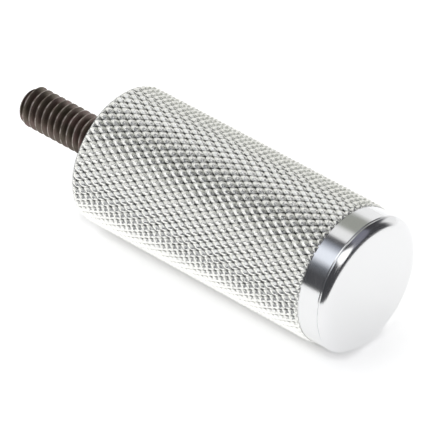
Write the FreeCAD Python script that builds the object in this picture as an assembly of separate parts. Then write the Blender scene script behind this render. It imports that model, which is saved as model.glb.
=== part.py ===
import FreeCAD, Part
import math
import os

# Foot peg of two pieces: a turned and knurled aluminium grip, and a black steel
# set screw thread-locked into the grip, whose free half is the mounting stud.
# Frame: +X runs along the peg from the mounting shoulder to the polished end,
# +Z is up, and the origin is the centre of the shoulder face. Millimetres.

# grip, outside
KNURL_DIAMETER = 22.2
KNURL_DEPTH = 0.42
KNURL_LENGTH = 44.3
KNURL_STARTS = 53
KNURL_HELIX_ANGLE = 30.0
KNURL_RUNOUT = 0.3
EDGE_CHAMFER = 0.6
BAND_DIAMETER = 21.5
BAND_LENGTH = 3.4
GROOVE_WIDTH = 0.25
GROOVE_DEPTH = 0.2
RIM_LENGTH = 0.8
RIM_CORNER_RADIUS = 1.3

# thread of the stud and the tapped hole: 1/4-20 UNC, 60 degree form, right hand
THREAD_DIAMETER = 6.35
THREAD_PITCH = 1.27
THREAD_CLEARANCE = 0.05

# stud: a hex-socket set screw with a cup point at its buried end
STUD_LENGTH = 31.75
STUD_THREAD_TURNS = 13
STUD_RELIEF_OUTSIDE = 1.2
STUD_RELIEF_INSIDE = 0.5
STUD_END_CHAMFER = 0.8
LEAD_THREAD_TRIM = 0.25
SOCKET_ACROSS_FLATS = 3.175
SOCKET_DEPTH = 3.6
CUP_DIAMETER = 3.3
CUP_DEPTH = 0.9

# tapped hole in the grip, sized from the stud
TAP_DRILL_CLEARANCE = 0.15
TAP_RUNOUT = 2.8
DRILL_RUNOUT = 4.0
MOUTH_CLEARANCE = 0.4
DRILL_POINT_ANGLE = 118.0

# sizes that follow from the ones above
KNURL_RADIUS = KNURL_DIAMETER / 2
BAND_RADIUS = BAND_DIAMETER / 2
BODY_LENGTH = KNURL_LENGTH + BAND_LENGTH + GROOVE_WIDTH + RIM_LENGTH
THREAD_RADIUS = THREAD_DIAMETER / 2
THREAD_CREST_FLAT = THREAD_PITCH / 8
THREAD_DEPTH = THREAD_PITCH * 0.6134
THREAD_ROOT_RADIUS = THREAD_RADIUS - THREAD_DEPTH
TAP_DRILL_RADIUS = THREAD_ROOT_RADIUS + TAP_DRILL_CLEARANCE
MOUTH_RADIUS = THREAD_RADIUS + MOUTH_CLEARANCE
RELIEF_START = -STUD_RELIEF_OUTSIDE
FULL_THREAD_START = RELIEF_START - STUD_THREAD_TURNS * THREAD_PITCH
STUD_TIP = FULL_THREAD_START - STUD_END_CHAMFER
STUD_INNER_END = STUD_TIP + STUD_LENGTH
TAPPED_DEPTH = STUD_INNER_END + TAP_RUNOUT
TAP_DRILL_DEPTH = TAPPED_DEPTH + DRILL_RUNOUT

ORIGIN = FreeCAD.Vector(0, 0, 0)
X_AXIS = FreeCAD.Vector(1, 0, 0)


def lathe(points):
    """Solid turned about the X axis from (x, radius) corners."""
    corners = [FreeCAD.Vector(x, 0, r) for x, r in points]
    face = Part.Face(Part.makePolygon(corners + corners[:1]))
    return face.revolve(ORIGIN, X_AXIS, 360)


def knurled_bar():
    """Bar whose side is two crossing families of V grooves.

    Groove floors cross at the lattice points where step and row are both odd or
    both even. Every other lattice point is the tip of one four-sided diamond.
    """
    steps = 2 * KNURL_STARTS
    width = 2 * math.pi * KNURL_RADIUS / KNURL_STARTS
    length = width / math.tan(math.radians(KNURL_HELIX_ANGLE))
    rows = round(2 * KNURL_LENGTH / length)
    floor = KNURL_RADIUS - KNURL_DEPTH

    def node(step, row):
        r = floor if (step + row) % 2 == 0 else KNURL_RADIUS
        turn = 2 * math.pi * (step % steps) / steps
        x = KNURL_LENGTH * row / rows
        return FreeCAD.Vector(x, r * math.cos(turn), r * math.sin(turn))

    facets = []
    for row in range(rows + 1):
        for step in range(steps):
            if (step + row) % 2 == 0:
                continue
            tip = node(step, row)
            east = node(step + 1, row)
            west = node(step - 1, row)
            if row < rows:
                north = node(step, row + 1)
                facets += [(tip, east, north), (tip, north, west)]
            if row > 0:
                south = node(step, row - 1)
                facets += [(tip, south, east), (tip, west, south)]
    faces = [Part.Face(Part.makePolygon([a, b, c, a])) for a, b, c in facets]
    for row in (0, rows):
        ring = [node(step, row) for step in range(steps)]
        faces.append(Part.Face(Part.makePolygon(ring + ring[:1])))
    shell = Part.makeShell(faces)
    shell.sewShape()
    return Part.Solid(shell)


def rod(radius, start, end):
    """Round bar about X whose side is twelve equal arcs."""
    arcs = []
    for k in range(12):
        turns = [math.radians(30 * k + part) for part in (0, 15, 30)]
        points = [FreeCAD.Vector(start, radius * math.cos(t), radius * math.sin(t)) for t in turns]
        arcs.append(Part.Arc(*points).toShape())
    return Part.Face(Part.Wire(arcs)).extrude(X_AXIS * (end - start))


def groove_half_width(radius, gap):
    """Half the width of the V between threads, with both flanks closed in by gap."""
    flank = math.radians(30)
    at_crest = (THREAD_PITCH - THREAD_CREST_FLAT) / 2
    return at_crest - (THREAD_RADIUS - radius) * math.tan(flank) - gap / math.cos(flank)


def threaded_bar(outer, root, start, end, gap):
    """Bar with the stud's thread; gap narrows the V, as a tap needs."""
    reach = outer + 0.1
    wide = groove_half_width(reach, gap)
    narrow = groove_half_width(root, gap)
    corners = [
        FreeCAD.Vector(root, 0, -narrow),
        FreeCAD.Vector(reach, 0, -wide),
        FreeCAD.Vector(reach, 0, wide),
        FreeCAD.Vector(root, 0, narrow),
    ]
    profile = Part.makePolygon(corners + corners[:1])
    turn = Part.makeHelix(THREAD_PITCH, THREAD_PITCH, reach).makePipeShell([profile], True, True)
    turn.rotate(ORIGIN, FreeCAD.Vector(0, 1, 0), 90)
    turn.rotate(ORIGIN, X_AXIS, 90)
    first = math.floor((start - FULL_THREAD_START) / THREAD_PITCH) - 2
    last = math.ceil((end - FULL_THREAD_START) / THREAD_PITCH) + 1
    cutters = []
    for k in range(first, last + 1):
        cutter = turn.copy()
        cutter.translate(X_AXIS * (FULL_THREAD_START + (k + 0.5) * THREAD_PITCH))
        cutters.append(cutter)
    return rod(outer, start, end).cut(cutters)


def chamfer_ring(x, radius, size, side):
    """Cutter for a 45 degree chamfer; the bar lies on the side of x that side points to."""
    return lathe([
        (x - side, radius - size - 1),
        (x + side * (size + 1), radius + 1),
        (x - side, radius + 1),
    ])


def lead_trim(start, end):
    """Cutter that dresses back the crest where the thread fades out, over 60 degrees."""
    low = THREAD_RADIUS - LEAD_THREAD_TRIM
    high = THREAD_RADIUS + 1
    corners = [FreeCAD.Vector(x, r, 0) for x, r in ((start, low), (start, high), (end, high), (end, low))]
    block = Part.Face(Part.makePolygon(corners + corners[:1])).revolve(ORIGIN, X_AXIS, 60)
    block.rotate(ORIGIN, X_AXIS, -30)
    return block


def hex_socket():
    """Broached hexagon with a drilled bottom, sunk into the free end of the stud."""
    corner = SOCKET_ACROSS_FLATS / 2 / math.cos(math.radians(30))
    mouth = STUD_TIP - 1
    floor = STUD_TIP + SOCKET_DEPTH
    ring = []
    for k in range(7):
        turn = math.radians(60 * k)
        ring.append(FreeCAD.Vector(mouth, corner * math.cos(turn), corner * math.sin(turn)))
    hexagon = Part.Face(Part.makePolygon(ring)).extrude(X_AXIS * (floor - mouth))
    drill = SOCKET_ACROSS_FLATS / 2 - 0.1
    point = drill / math.tan(math.radians(DRILL_POINT_ANGLE / 2))
    return hexagon.fuse(lathe([(mouth, 0), (mouth, drill), (floor, drill), (floor + point, 0)]))


def make_stud():
    bar = threaded_bar(THREAD_RADIUS, THREAD_ROOT_RADIUS, STUD_TIP, STUD_INNER_END, 0)
    neck = THREAD_ROOT_RADIUS - 0.05
    outside = THREAD_RADIUS + 1
    relief = lathe([
        (RELIEF_START, neck),
        (RELIEF_START, outside),
        (STUD_RELIEF_INSIDE, outside),
        (STUD_RELIEF_INSIDE, neck),
    ])
    cup = lathe([
        (STUD_INNER_END - CUP_DEPTH, 0),
        (STUD_INNER_END, CUP_DIAMETER / 2),
        (STUD_INNER_END + 1, CUP_DIAMETER / 2),
        (STUD_INNER_END + 1, 0),
    ])
    half = THREAD_PITCH / 2
    return bar.cut([
        chamfer_ring(STUD_TIP, THREAD_RADIUS, STUD_END_CHAMFER, 1),
        chamfer_ring(STUD_INNER_END, THREAD_RADIUS, STUD_END_CHAMFER, -1),
        relief,
        lead_trim(STUD_TIP - 1, FULL_THREAD_START + half),
        lead_trim(RELIEF_START - half, 0),
        hex_socket(),
        cup,
    ]).Solids[0]


def make_grip():
    spigot = min(KNURL_RADIUS - KNURL_DEPTH, BAND_RADIUS) - 1
    end = lathe([
        (KNURL_LENGTH - 2, 0),
        (KNURL_LENGTH - 2, spigot),
        (KNURL_LENGTH - KNURL_RUNOUT, spigot),
        (KNURL_LENGTH - KNURL_RUNOUT, BAND_RADIUS),
        (BODY_LENGTH, BAND_RADIUS),
        (BODY_LENGTH, 0),
    ])
    corner = [
        edge
        for edge in end.Edges
        if edge.BoundBox.XMin > BODY_LENGTH - 0.01 and edge.BoundBox.ZMax > BAND_RADIUS - 0.01
    ]
    end = end.makeFillet(RIM_CORNER_RADIUS, corner)
    groove_start = KNURL_LENGTH + BAND_LENGTH
    groove = lathe([
        (groove_start, BAND_RADIUS - GROOVE_DEPTH),
        (groove_start, BAND_RADIUS + 1),
        (groove_start + GROOVE_WIDTH, BAND_RADIUS + 1),
        (groove_start + GROOVE_WIDTH, BAND_RADIUS - GROOVE_DEPTH),
    ])
    body = knurled_bar().fuse(end.cut(groove))

    tap = threaded_bar(
        THREAD_RADIUS + THREAD_CLEARANCE, TAP_DRILL_RADIUS, -1, TAPPED_DEPTH, THREAD_CLEARANCE
    )
    point = TAP_DRILL_RADIUS / math.tan(math.radians(DRILL_POINT_ANGLE / 2))
    drill = lathe([
        (TAPPED_DEPTH, 0),
        (TAPPED_DEPTH, TAP_DRILL_RADIUS),
        (TAP_DRILL_DEPTH, TAP_DRILL_RADIUS),
        (TAP_DRILL_DEPTH + point, 0),
    ])
    countersink = lathe([(-1, 0), (-1, MOUTH_RADIUS + 1), (MOUTH_RADIUS - 2, 2), (MOUTH_RADIUS - 2, 0)])
    return body.cut([
        tap,
        drill,
        countersink,
        chamfer_ring(0, KNURL_RADIUS, EDGE_CHAMFER, 1),
    ]).Solids[0]


os.makedirs("parts", exist_ok=True)
make_stud().exportStep("parts/mounting_stud.step")
make_grip().exportStep("parts/grip_body.step")
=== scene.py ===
import math

import bmesh
import bpy
from mathutils import Matrix, Vector


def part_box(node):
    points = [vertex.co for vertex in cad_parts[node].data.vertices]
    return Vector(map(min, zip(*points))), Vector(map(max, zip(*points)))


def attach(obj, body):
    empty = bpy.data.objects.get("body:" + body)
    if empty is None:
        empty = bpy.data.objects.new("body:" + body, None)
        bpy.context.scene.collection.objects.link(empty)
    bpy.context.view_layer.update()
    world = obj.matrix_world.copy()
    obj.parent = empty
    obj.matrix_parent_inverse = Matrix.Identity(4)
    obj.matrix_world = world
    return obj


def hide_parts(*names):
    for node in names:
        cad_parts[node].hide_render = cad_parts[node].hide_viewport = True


# Foot peg lying on a white table: a knurled aluminium grip with a polished end
# and a black-oxide threaded stud. Metres, in the frame of the CAD model: +X runs
# from the shoulder to the polished end, +Z is up, the origin is on the shoulder.

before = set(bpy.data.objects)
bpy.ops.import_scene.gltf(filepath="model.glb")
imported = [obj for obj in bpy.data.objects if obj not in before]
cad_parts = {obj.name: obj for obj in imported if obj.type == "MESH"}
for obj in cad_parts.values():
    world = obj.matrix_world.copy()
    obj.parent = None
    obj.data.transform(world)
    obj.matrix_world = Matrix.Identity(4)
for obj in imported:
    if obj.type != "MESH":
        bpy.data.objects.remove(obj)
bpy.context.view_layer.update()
MM = 0.001

# ---------------------------------------------------------------- sizes, in mm
_, grip_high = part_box("grip_body")
stud_low, stud_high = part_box("mounting_stud")

KNURL_RADIUS = 11.1
KNURL_DEPTH = 0.42
KNURL_LENGTH = 44.3
KNURL_STARTS = 53
KNURL_ROWS = 39
TIP_FLAT = 0.14
VALLEY_ROUND = 0.08
PIT_SHARE = 0.5
RUNOUT = 0.35
RUNOUT_STEP = 0.02
EDGE_CHAMFER = 0.6

BAND_RADIUS = 10.75
GROOVE_START = 47.7
GROOVE_END = 47.95
GROOVE_DEPTH = 0.2
BODY_LENGTH = grip_high[0] / MM
RIM_START = (47.95, 10.65)
RIM_SHOULDER = (BODY_LENGTH - 0.12, 9.45)
FACE_RADIUS = 8.4
TURNED_SEGMENTS = 256

MOUTH_RADIUS = 3.575
HOLE_RADIUS = 3.23
HOLE_DEPTH = 20.0

THREAD_RADIUS = 3.175
THREAD_PITCH = 1.27
THREAD_DEPTH = 0.779
FLANK_ANGLE = 30
CREST_HALF = 0.08
STUD_TIP = stud_low[0] / MM
STUD_END = stud_high[0] / MM
STUD_CHAMFER = 0.8
THREAD_ZERO = STUD_TIP + STUD_CHAMFER
RELIEF_START = -1.2
RELIEF_END = 0.5
NECK_BELOW_ROOT = 0.05
LEAD_TRIM = 0.25
LEAD_TRIM_HALF_ANGLE = 31
SOCKET_FLATS = 3.175
SOCKET_DEPTH = 3.6
SOCKET_POINT = 0.8
SOCKET_EDGE = 0.08
CUP_RADIUS = 1.65
CUP_DEPTH = 0.9
STUD_SEGMENTS = 96

TABLE_EDGE = 0.082
SHADE_START = -2.0
SHADE_END = BODY_LENGTH - 4
SHADE_HALF_WIDTH = 2.8
SHADE_FADE = 3.8
SHEET_GLOW = 0.51
SKY_STRENGTH = 1.2


# ---------------------------------------------------------------- mesh helpers
def on_circle(x, radius, turn):
    """Point at x on a circle about the peg's axis; turn runs from +Y towards +Z."""
    return (x, radius * math.cos(turn), radius * math.sin(turn))


def bulged(first, last, bulge, steps):
    """Points of an arc in the (x, radius) plane that leaves its chord by bulge degrees at each end."""
    dx, dr = last[0] - first[0], last[1] - first[1]
    chord = math.hypot(dx, dr)
    radius = chord / 2 / math.sin(math.radians(bulge))
    sag = radius * math.cos(math.radians(bulge))
    out = []
    for k in range(steps + 1):
        a = math.radians(bulge * (2 * k / steps - 1))
        along = 0.5 + radius * math.sin(a) / chord
        off = (radius * math.cos(a) - sag) / chord
        out.append((first[0] + along * dx - off * dr, first[1] + along * dr + off * dx))
    return out


def ease(t):
    t = min(max(t, 0.0), 1.0)
    return t * t * (3 - 2 * t)


def add_turned(bm, points, segments, slot=0):
    """Add a surface turned about X; each point is (x, radius), radius a number or a function of turn."""
    rings = []
    for x, radius in points:
        if radius == 0:
            rings.append([bm.verts.new((x, 0, 0))] * segments)
            continue
        ring = []
        for k in range(segments):
            turn = 2 * math.pi * k / segments
            r = radius(turn) if callable(radius) else radius
            ring.append(bm.verts.new(on_circle(x, r, turn)))
        rings.append(ring)
    for near, far in zip(rings, rings[1:]):
        for k in range(segments):
            j = (k + 1) % segments
            corners = list(dict.fromkeys([near[k], far[k], far[j], near[j]]))
            bm.faces.new(corners).material_index = slot


def finish_piece(name, bm, crease):
    """Turn a bmesh in mm into a smooth-shaded object in metres, sharp past the crease angle."""
    bmesh.ops.remove_doubles(bm, verts=bm.verts, dist=1e-4)
    bmesh.ops.recalc_face_normals(bm, faces=bm.faces)
    bmesh.ops.scale(bm, vec=(MM, MM, MM), verts=bm.verts)
    mesh = bpy.data.meshes.new(name)
    bm.to_mesh(mesh)
    bm.free()
    mesh.shade_smooth()
    mesh.set_sharp_from_angle(angle=math.radians(crease))
    piece = bpy.data.objects.new(name, mesh)
    bpy.context.scene.collection.objects.link(piece)
    return piece


# ---------------------------------------------------------------- grip
def diamond_height(s, t):
    """Height from 0 to 1 over the knurl, whose grooves run at whole s and whole t.

    A rolled groove is deepest where it crosses another, so the height is part the
    lower of the two flanks and part their mean.
    """
    across = 1 - abs(2 * (s % 1) - 1), 1 - abs(2 * (t % 1) - 1)
    rise = (1 - PIT_SHARE) * min(across) + PIT_SHARE * sum(across) / 2
    if rise < VALLEY_ROUND:
        rise = (VALLEY_ROUND + rise * rise / VALLEY_ROUND) / 2
    return min(rise / (1 - TIP_FLAT), 1.0)


def add_knurl(bm):
    """Lattice of diamonds, each a small grid so that its tip is blunt and its grooves are rounded."""
    cuts = [0.0, 0.05, 0.13, 0.28, 0.43, 0.5, 0.57, 0.72, 0.87, 0.95]
    n = len(cuts)
    row_length = KNURL_LENGTH / KNURL_ROWS
    corners = {}

    def corner(i, j):
        key = (i - j, (i + j) % (2 * n * KNURL_STARTS))
        if key not in corners:
            s = i // n + cuts[i % n]
            t = j // n + cuts[j % n]
            r = KNURL_RADIUS - KNURL_DEPTH * (1 - diamond_height(s, t))
            turn = math.pi * (s + t) / KNURL_STARTS
            corners[key] = bm.verts.new(on_circle(row_length * (s - t), r, turn))
        return corners[key]

    for shift in range(-1, KNURL_ROWS + 2):
        for start in range(KNURL_STARTS):
            for a in range(n):
                for b in range(n):
                    i = (start + shift) * n + a
                    j = start * n + b
                    square = [corner(i, j), corner(i + 1, j), corner(i + 1, j + 1), corner(i, j + 1)]
                    if (a < n / 2) != (b < n / 2):
                        square = square[1:] + square[:1]
                    bm.faces.new((square[0], square[1], square[2]))
                    bm.faces.new((square[0], square[2], square[3]))


def cut_at(bm, x, keep):
    """Cut the mesh at x; keep is "both", or the side to keep, 1 for beyond x and -1 for before it."""
    geometry = bm.verts[:] + bm.edges[:] + bm.faces[:]
    bmesh.ops.bisect_plane(
        bm,
        geom=geometry,
        dist=1e-5,
        plane_co=(x, 0, 0),
        plane_no=(1, 0, 0),
        clear_outer=keep == -1,
        clear_inner=keep == 1,
    )


def shape_knurl_ends(bm):
    """Trim the knurl, chamfer its inboard edge and let it fade out at the polished band."""
    cut_at(bm, 0.0, 1)
    cut_at(bm, KNURL_LENGTH, -1)
    cut_at(bm, EDGE_CHAMFER, "both")
    cut_at(bm, KNURL_LENGTH - RUNOUT, "both")
    for vert in bm.verts:
        x = vert.co.x
        r = math.hypot(vert.co.y, vert.co.z)
        low = BAND_RADIUS + RUNOUT_STEP
        if r > low:
            r = low + (r - low) * ease((KNURL_LENGTH - x) / RUNOUT)
        r = min(r, KNURL_RADIUS - EDGE_CHAMFER + x)
        turn = math.atan2(vert.co.z, vert.co.y)
        vert.co = on_circle(x, r, turn)


def make_grip():
    bm = bmesh.new()
    add_knurl(bm)
    shape_knurl_ends(bm)
    floor = BAND_RADIUS - GROOVE_DEPTH
    soft = 0.06
    tucked = KNURL_LENGTH - 0.2
    add_turned(bm, [
        (tucked, BAND_RADIUS - 0.4),
        (tucked, BAND_RADIUS),
        (KNURL_LENGTH + 1.0, BAND_RADIUS),
        (GROOVE_START - soft, BAND_RADIUS),
        (GROOVE_START, BAND_RADIUS - soft),
        (GROOVE_START + soft, floor),
        (GROOVE_END - soft, floor),
        *bulged(RIM_START, RIM_SHOULDER, 17, 12),
        *bulged(RIM_SHOULDER, (BODY_LENGTH, FACE_RADIUS), 6.5, 6)[1:],
        (BODY_LENGTH, BAND_RADIUS / 2),
        (BODY_LENGTH, 0),
    ], TURNED_SEGMENTS, 1)
    add_turned(bm, [
        (0, KNURL_RADIUS - EDGE_CHAMFER),
        (0, MOUTH_RADIUS),
        (MOUTH_RADIUS - HOLE_RADIUS, HOLE_RADIUS),
        (HOLE_DEPTH, HOLE_RADIUS),
        (HOLE_DEPTH + 1, 0),
    ], TURNED_SEGMENTS, 1)
    return finish_piece("grip", bm, 24)


# ---------------------------------------------------------------- stud
def thread_radius(w):
    """Radius at a distance w along the axis from the middle of the crest."""
    flank = THREAD_RADIUS - (abs(w) - CREST_HALF) / math.tan(math.radians(FLANK_ANGLE))
    return max(min(flank, THREAD_RADIUS), THREAD_RADIUS - THREAD_DEPTH)


def stud_outline(x, turn, w):
    """Radius of the stud's side, with end chamfers, the neck and the dressed-back lead threads."""
    r = thread_radius(w)
    end = min(x - STUD_TIP, STUD_END - x)
    if RELIEF_START < x < RELIEF_END:
        r = THREAD_RADIUS - THREAD_DEPTH - NECK_BELOW_ROOT
    near_tip = x < THREAD_ZERO + THREAD_PITCH / 2
    near_neck = RELIEF_START - THREAD_PITCH / 2 < x < 0
    if math.cos(turn) > math.cos(math.radians(LEAD_TRIM_HALF_ANGLE)) and (near_tip or near_neck):
        r = min(r, THREAD_RADIUS - LEAD_TRIM)
    return min(r, THREAD_RADIUS - STUD_CHAMFER + end)


def add_thread(bm, segments):
    """Helical side of the stud, in rows that follow the helix so that the crest stays crisp."""
    root = CREST_HALF + THREAD_DEPTH * math.tan(math.radians(FLANK_ANGLE))
    crest = [0.0, 0.6 * CREST_HALF, CREST_HALF, CREST_HALF + 0.03]
    side = crest + [0.2, 0.35, root - 0.04, root, root + 0.05]
    offsets = [-w for w in reversed(side[1:])] + side
    n = len(offsets)
    turns = math.ceil((STUD_END - STUD_TIP) / THREAD_PITCH) + 4
    rows = []
    for number in range(turns * n):
        w = offsets[number % n]
        middle = THREAD_ZERO + THREAD_PITCH * (number // n - 2)
        row = []
        for k in range(segments):
            turn = 2 * math.pi * k / segments
            x = middle + w + THREAD_PITCH * k / segments
            x = min(max(x, STUD_TIP), STUD_END)
            row.append(bm.verts.new(on_circle(x, stud_outline(x, turn, w), turn)))
        rows.append(row)
    for m in range(len(rows) - 1):
        for k in range(segments):
            if k < segments - 1:
                near, far = rows[m][k + 1], rows[m + 1][k + 1]
            elif m + 1 + n < len(rows):
                near, far = rows[m + n][0], rows[m + 1 + n][0]
            else:
                continue
            bm.faces.new((rows[m][k], rows[m + 1][k], far, near))


def make_stud():
    bm = bmesh.new()

    def hexagon(turn):
        side = (math.degrees(turn) % 60) - 30
        return SOCKET_FLATS / 2 / math.cos(math.radians(side))

    add_thread(bm, STUD_SEGMENTS)
    rim = THREAD_RADIUS - STUD_CHAMFER
    add_turned(bm, [
        (STUD_TIP, rim),
        (STUD_TIP, lambda turn: hexagon(turn) + SOCKET_EDGE),
        (STUD_TIP + SOCKET_EDGE, hexagon),
        (STUD_TIP + SOCKET_DEPTH, hexagon),
        (STUD_TIP + SOCKET_DEPTH + SOCKET_POINT, 0),
    ], STUD_SEGMENTS)
    add_turned(bm, [(STUD_END, rim), (STUD_END, CUP_RADIUS), (STUD_END - CUP_DEPTH, 0)], STUD_SEGMENTS)
    return finish_piece("stud", bm, 40)


# ---------------------------------------------------------------- materials
class Nodes:
    """Small helper to build a node material by name."""

    def __init__(self, name):
        self.material = bpy.data.materials.new(name)
        self.material.use_nodes = True
        self.tree = self.material.node_tree
        self.shader = self.tree.nodes["Principled BSDF"]

    def add(self, kind, **settings):
        node = self.tree.nodes.new(kind)
        for key, value in settings.items():
            if key in node.inputs.keys():
                node.inputs[key].default_value = value
            else:
                setattr(node, key, value)
        return node

    def link(self, source, target):
        self.tree.links.new(source, target)

    def math(self, operation, first, second=None):
        node = self.add("ShaderNodeMath", operation=operation)
        for socket, value in zip(node.inputs, (first, second)):
            if hasattr(value, "is_output"):
                self.link(value, socket)
            elif value is not None:
                socket.default_value = value
        return node.outputs[0]

    def scale_range(self, value, low, high, to_low, to_high):
        node = self.add("ShaderNodeMapRange")
        self.link(value, node.inputs["Value"])
        for key, number in (("From Min", low), ("From Max", high), ("To Min", to_low), ("To Max", to_high)):
            node.inputs[key].default_value = number
        return node.outputs["Result"]

    def position(self):
        """Object position in mm as a vector, x, y and the distance from the peg's axis."""
        place = self.add("ShaderNodeTexCoord").outputs["Object"]
        scaled = self.add("ShaderNodeVectorMath", operation="SCALE")
        scaled.inputs["Scale"].default_value = 1 / MM
        self.link(place, scaled.inputs[0])
        split = self.add("ShaderNodeSeparateXYZ")
        self.link(scaled.outputs[0], split.inputs[0])
        x, y, z = split.outputs
        squares = self.math("MULTIPLY", y, y), self.math("MULTIPLY", z, z)
        r = self.math("SQRT", self.math("ADD", *squares))
        return scaled.outputs[0], x, y, r

    def noise(self, vector, scale, detail=3.0):
        node = self.add("ShaderNodeTexNoise", Scale=scale, Detail=detail)
        self.link(vector, node.inputs["Vector"])
        return node.outputs["Fac"]

    def ramp(self, value, stops):
        node = self.add("ShaderNodeValToRGB")
        elements = node.color_ramp.elements
        while len(elements) < len(stops):
            elements.new(0.5)
        for element, (place, colour) in zip(elements, stops):
            element.position = place
            element.color = (*colour, 1)
        self.link(value, node.inputs["Fac"])
        return node.outputs["Color"]

    def bump(self, height, distance_mm, strength=1.0):
        node = self.add("ShaderNodeBump", Strength=strength, Distance=distance_mm * MM)
        self.link(height, node.inputs["Height"])
        self.link(node.outputs["Normal"], self.shader.inputs["Normal"])


def knurled_aluminium():
    """Bright rolled knurl: clean tips, painted shade that darkens the grooves through grey to near black,
    mottled by noise, and swarf marks as bumps.
    """
    m = Nodes("knurled_aluminium")
    place, _, _, r = m.position()
    depth = m.scale_range(r, KNURL_RADIUS - KNURL_DEPTH, KNURL_RADIUS, 0.0, 1.0)
    patches = m.math("SUBTRACT", m.noise(place, 2.2), 0.5)
    # Painted shade: a depth mask, broken up by noise, that is low down in the grooves and high at the tips.
    painted_groove_shade = m.math("ADD", depth, m.math("MULTIPLY", patches, 0.35))
    # Colour from the painted shade mask: near black down in the grooves, grey on the flanks, bright metal
    # at the tips.
    colour = m.ramp(painted_groove_shade, [
        (0.0, (0.03, 0.03, 0.03)),
        (0.13, (0.08, 0.08, 0.08)),
        (0.23, (0.62, 0.62, 0.60)),
        (0.36, (0.90, 0.90, 0.87)),
        (1.0, (0.96, 0.955, 0.93)),
    ])
    m.link(colour, m.shader.inputs["Base Color"])
    m.shader.inputs["Metallic"].default_value = 1.0
    m.link(m.scale_range(painted_groove_shade, 0.0, 1.0, 0.36, 0.14), m.shader.inputs["Roughness"])
    coarse = m.math("MULTIPLY", m.noise(place, 3.5), 0.7)
    fine = m.math("MULTIPLY", m.noise(place, 9.0), 0.3)
    marks = m.math("ADD", coarse, fine)
    m.bump(marks, 0.08, 1.0)
    return m.material


def polished_aluminium():
    """Turned and buffed metal: rings around the axis on the band, circles on the flat faces."""
    m = Nodes("polished_aluminium")
    place, x, _, r = m.position()
    along = m.math("ADD", x, r)
    stretched = m.add("ShaderNodeCombineXYZ")
    m.link(along, stretched.inputs[0])
    rings = m.noise(stretched.outputs[0], 9.0, 4.0)
    broad = m.noise(place, 0.25, 2.0)
    colour = m.ramp(rings, [(0.3, (0.76, 0.765, 0.77)), (0.7, (0.80, 0.80, 0.805))])
    m.link(colour, m.shader.inputs["Base Color"])
    m.shader.inputs["Metallic"].default_value = 1.0
    wear = m.math("ADD", m.math("MULTIPLY", rings, 0.10), m.math("MULTIPLY", broad, 0.08))
    m.link(m.math("ADD", wear, 0.06), m.shader.inputs["Roughness"])
    m.bump(rings, 0.01, 0.5)
    return m.material


def black_oxide_steel():
    """Dark oxide with an oily brown and violet cast, rubbed bright along the thread's crests."""
    m = Nodes("black_oxide_steel")
    place, _, _, r = m.position()
    tint = m.ramp(m.noise(place, 0.5), [
        (0.35, (0.190, 0.135, 0.125)),
        (0.5, (0.162, 0.130, 0.111)),
        (0.65, (0.148, 0.127, 0.100)),
    ])
    worn = m.scale_range(r, THREAD_RADIUS - 0.05, THREAD_RADIUS, 0.0, 1.0)
    patchy = m.math("MULTIPLY", worn, m.scale_range(m.noise(place, 1.1), 0.40, 0.62, 0.05, 1.0))
    mix = m.add("ShaderNodeMix", data_type="RGBA")
    m.link(patchy, mix.inputs["Factor"])
    m.link(tint, mix.inputs[6])
    mix.inputs[7].default_value = (0.40, 0.36, 0.33, 1)
    m.link(mix.outputs[2], m.shader.inputs["Base Color"])
    m.shader.inputs["Metallic"].default_value = 0.9
    m.link(m.scale_range(m.noise(place, 4.0), 0.3, 0.7, 0.30, 0.46), m.shader.inputs["Roughness"])
    m.bump(m.noise(place, 12.0), 0.02, 0.4)
    return m.material


def table_white():
    """White sheet that glows, less so around the line where the peg lies, to deepen the shadow there."""
    m = Nodes("table_white")
    place, x, y, _ = m.position()
    colour = m.ramp(m.noise(place, 0.05), [(0.3, (0.93, 0.93, 0.93)), (0.7, (0.95, 0.95, 0.95))])
    m.link(colour, m.shader.inputs["Base Color"])
    m.shader.inputs["Roughness"].default_value = 0.9
    m.shader.inputs["Specular IOR Level"].default_value = 0.1
    m.shader.inputs["Emission Color"].default_value = (1, 1, 1, 1)
    past_shoulder = m.math("SUBTRACT", SHADE_START, x)
    past_rim = m.math("SUBTRACT", x, SHADE_END)
    past_end = m.math("MAXIMUM", m.math("MAXIMUM", past_shoulder, past_rim), 0.0)
    aside = m.math("SUBTRACT", m.math("ABSOLUTE", y), SHADE_HALF_WIDTH)
    aside = m.math("MAXIMUM", aside, 0.0)
    squares = m.math("MULTIPLY", past_end, past_end), m.math("MULTIPLY", aside, aside)
    away = m.math("SQRT", m.math("ADD", *squares))
    glow = m.scale_range(away, 0.0, SHADE_FADE, 0.0, SHEET_GLOW)
    m.link(glow, m.shader.inputs["Emission Strength"])
    return m.material


# ---------------------------------------------------------------- studio
def make_table():
    """Flat white sheet that the peg lies on, near the sheet's edge."""
    level = -KNURL_RADIUS * MM
    mesh = bpy.data.meshes.new("table")
    corners = [(-2.0, -2.0), (TABLE_EDGE, -2.0), (TABLE_EDGE, 2.0), (-2.0, 2.0)]
    mesh.from_pydata([(x, y, 0) for x, y in corners], [], [(0, 1, 2, 3)])
    table = bpy.data.objects.new("table", mesh)
    table.location = (0, 0, level)
    bpy.context.scene.collection.objects.link(table)
    table.data.materials.append(table_white())


def sky_ramp(tree, factor, stops):
    """Colour ramp over the angle about the peg's axis, all the way round from -180 to 180 degrees."""
    ramp = tree.nodes.new("ShaderNodeValToRGB")
    elements = ramp.color_ramp.elements
    while len(elements) < len(stops):
        elements.new(0.5)
    for element, (degrees, colour) in zip(elements, stops):
        element.position = (degrees + 180) / 360
        element.color = (*colour, 1)
    tree.links.new(factor, ramp.inputs["Fac"])
    return ramp.outputs["Color"]


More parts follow.
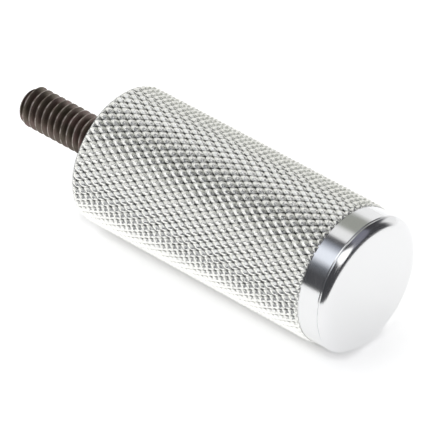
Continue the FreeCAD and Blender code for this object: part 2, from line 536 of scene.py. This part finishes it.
def sky_mix(tree, value, low, high, first, second):
    """Blend from the first colour to the second while value goes from low to high."""
    share = tree.nodes.new("ShaderNodeMapRange")
    share.interpolation_type = "SMOOTHSTEP"
    share.inputs["From Min"].default_value = low
    share.inputs["From Max"].default_value = high
    tree.links.new(value, share.inputs["Value"])
    mix = tree.nodes.new("ShaderNodeMix")
    mix.data_type = "RGBA"
    tree.links.new(share.outputs[0], mix.inputs["Factor"])
    tree.links.new(first, mix.inputs[6])
    tree.links.new(second, mix.inputs[7])
    return mix.outputs[2]


def light_tent():
    """White tent around the table, with dark gaps between its panels.

    Brightness follows the angle about the peg's axis: 0 is level behind the peg, 90
    straight up, 180 level in front, and below 0 is under the table's level. The side
    beyond the stud has its own panels, the side beyond the polished end is mostly open.
    """
    world = bpy.data.worlds.new("light_tent")
    bpy.context.scene.world = world
    world.use_nodes = True
    tree = world.node_tree
    direction = tree.nodes.new("ShaderNodeTexCoord").outputs["Generated"]
    split = tree.nodes.new("ShaderNodeSeparateXYZ")
    tree.links.new(direction, split.inputs[0])
    angle = tree.nodes.new("ShaderNodeMath")
    angle.operation = "ARCTAN2"
    tree.links.new(split.outputs["Z"], angle.inputs[0])
    tree.links.new(split.outputs["Y"], angle.inputs[1])
    turn = tree.nodes.new("ShaderNodeMapRange")
    turn.inputs["From Min"].default_value = -math.pi
    turn.inputs["From Max"].default_value = math.pi
    tree.links.new(angle.outputs[0], turn.inputs["Value"])
    turn = turn.outputs[0]

    white, grey, dim = (0.86, 0.86, 0.86), (0.31, 0.32, 0.29), (0.05, 0.05, 0.055)
    cool, dusk = (0.85, 0.89, 0.97), (0.11, 0.12, 0.14)
    end_wall = sky_ramp(tree, turn, [(-180, (0.80, 0.80, 0.78)), (180, (0.80, 0.80, 0.78))])
    beyond_stud = sky_ramp(tree, turn, [
        (-180, white), (28, white), (40, grey), (68, grey), (76, white), (90, white),
        (94, dim), (100, dim), (106, (0.26, 0.28, 0.33)), (118, cool), (132, cool),
        (143, dusk), (156, dim), (180, dim),
    ])
    abreast = sky_ramp(tree, turn, [
        (-180, white), (40, white), (51, grey), (84, grey),
        (94, white), (144, white), (154, dusk), (180, dusk),
    ])
    beyond_rim = sky_ramp(tree, turn, [
        (-180, dim), (-100, dim), (-80, white), (8, white),
        (16, (0.10, 0.10, 0.11)), (30, dim), (180, dim),
    ])
    open_side = sky_ramp(tree, turn, [(-180, dim), (180, dim)])
    along = split.outputs["X"]
    colour = sky_mix(tree, along, -0.68, -0.61, end_wall, beyond_stud)
    colour = sky_mix(tree, along, -0.45, -0.38, colour, abreast)
    colour = sky_mix(tree, along, 0.04, 0.14, colour, beyond_rim)
    colour = sky_mix(tree, along, 0.50, 0.62, colour, open_side)
    background = tree.nodes["Background"]
    background.inputs["Strength"].default_value = SKY_STRENGTH
    tree.links.new(colour, background.inputs["Color"])


def toward(azimuth, elevation):
    """Unit vector at an angle from +X towards +Y, and up from level."""
    a, e = math.radians(azimuth), math.radians(elevation)
    return Vector((math.cos(e) * math.cos(a), math.cos(e) * math.sin(a), math.sin(e)))


def soft_box(name, first, last, width, distance, radiance):
    """Long panel light whose ends lie in two directions from the peg's polished end."""
    ends = [toward(*first) * distance, toward(*last) * distance]
    middle = (ends[0] + ends[1]) / 2
    length = (ends[0] - ends[1]).length
    light = bpy.data.lights.new(name, "AREA")
    light.shape = "ELLIPSE"
    light.size, light.size_y = length, width
    light.energy = max(radiance) * math.pi * math.pi / 4 * length * width
    light.color = [value / max(radiance) for value in radiance]
    lamp = bpy.data.objects.new(name, light)
    across = (ends[1] - ends[0]).normalized()
    facing = middle.normalized()
    upright = facing.cross(across)
    lamp.matrix_world = Matrix((across, upright, facing)).transposed().to_4x4()
    lamp.location = middle + Vector((BODY_LENGTH * MM, 0, 0))
    bpy.context.scene.collection.objects.link(lamp)


def overhead_light():
    """Broad top light that whitens the sheet, kept out of the metal's reflections."""
    light = bpy.data.lights.new("overhead", "AREA")
    light.size = 1.6
    light.energy = 5.4
    lamp = bpy.data.objects.new("overhead", light)
    lamp.location = (0.1, -0.1, 1.2)
    lamp.visible_glossy = False
    bpy.context.scene.collection.objects.link(lamp)


def make_camera():
    """Long lens from the polished end's side, looking down at the peg."""
    azimuth, elevation = math.radians(41.9), math.radians(37.1)
    distance = 0.742
    target = Vector((14.3, 5.2, -7.5)) * MM
    back = Vector((
        math.sin(azimuth) * math.cos(elevation),
        -math.cos(azimuth) * math.cos(elevation),
        math.sin(elevation),
    ))
    data = bpy.data.cameras.new("camera")
    data.lens = 416.7
    data.sensor_width = 36.0
    camera = bpy.data.objects.new("camera", data)
    camera.location = target + back * distance
    camera.rotation_euler = (-back).to_track_quat("-Z", "Y").to_euler()
    bpy.context.scene.collection.objects.link(camera)
    bpy.context.scene.camera = camera


# ---------------------------------------------------------------- assembly
grip = make_grip()
grip.data.materials.append(knurled_aluminium())
grip.data.materials.append(polished_aluminium())
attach(grip, "root")
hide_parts("grip_body")

stud = make_stud()
stud.data.materials.append(black_oxide_steel())
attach(stud, "root")
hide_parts("mounting_stud")

make_table()
light_tent()
soft_box("front_panel", (-18, 36), (20, -9), 0.26, 1.0, (1.5, 1.5, 1.5))
soft_box("front_glow", (8, 72), (30, -12), 0.34, 1.2, (0.16, 0.16, 0.20))
overhead_light()
make_camera()
scene = bpy.context.scene
scene.view_settings.view_transform = "Standard"
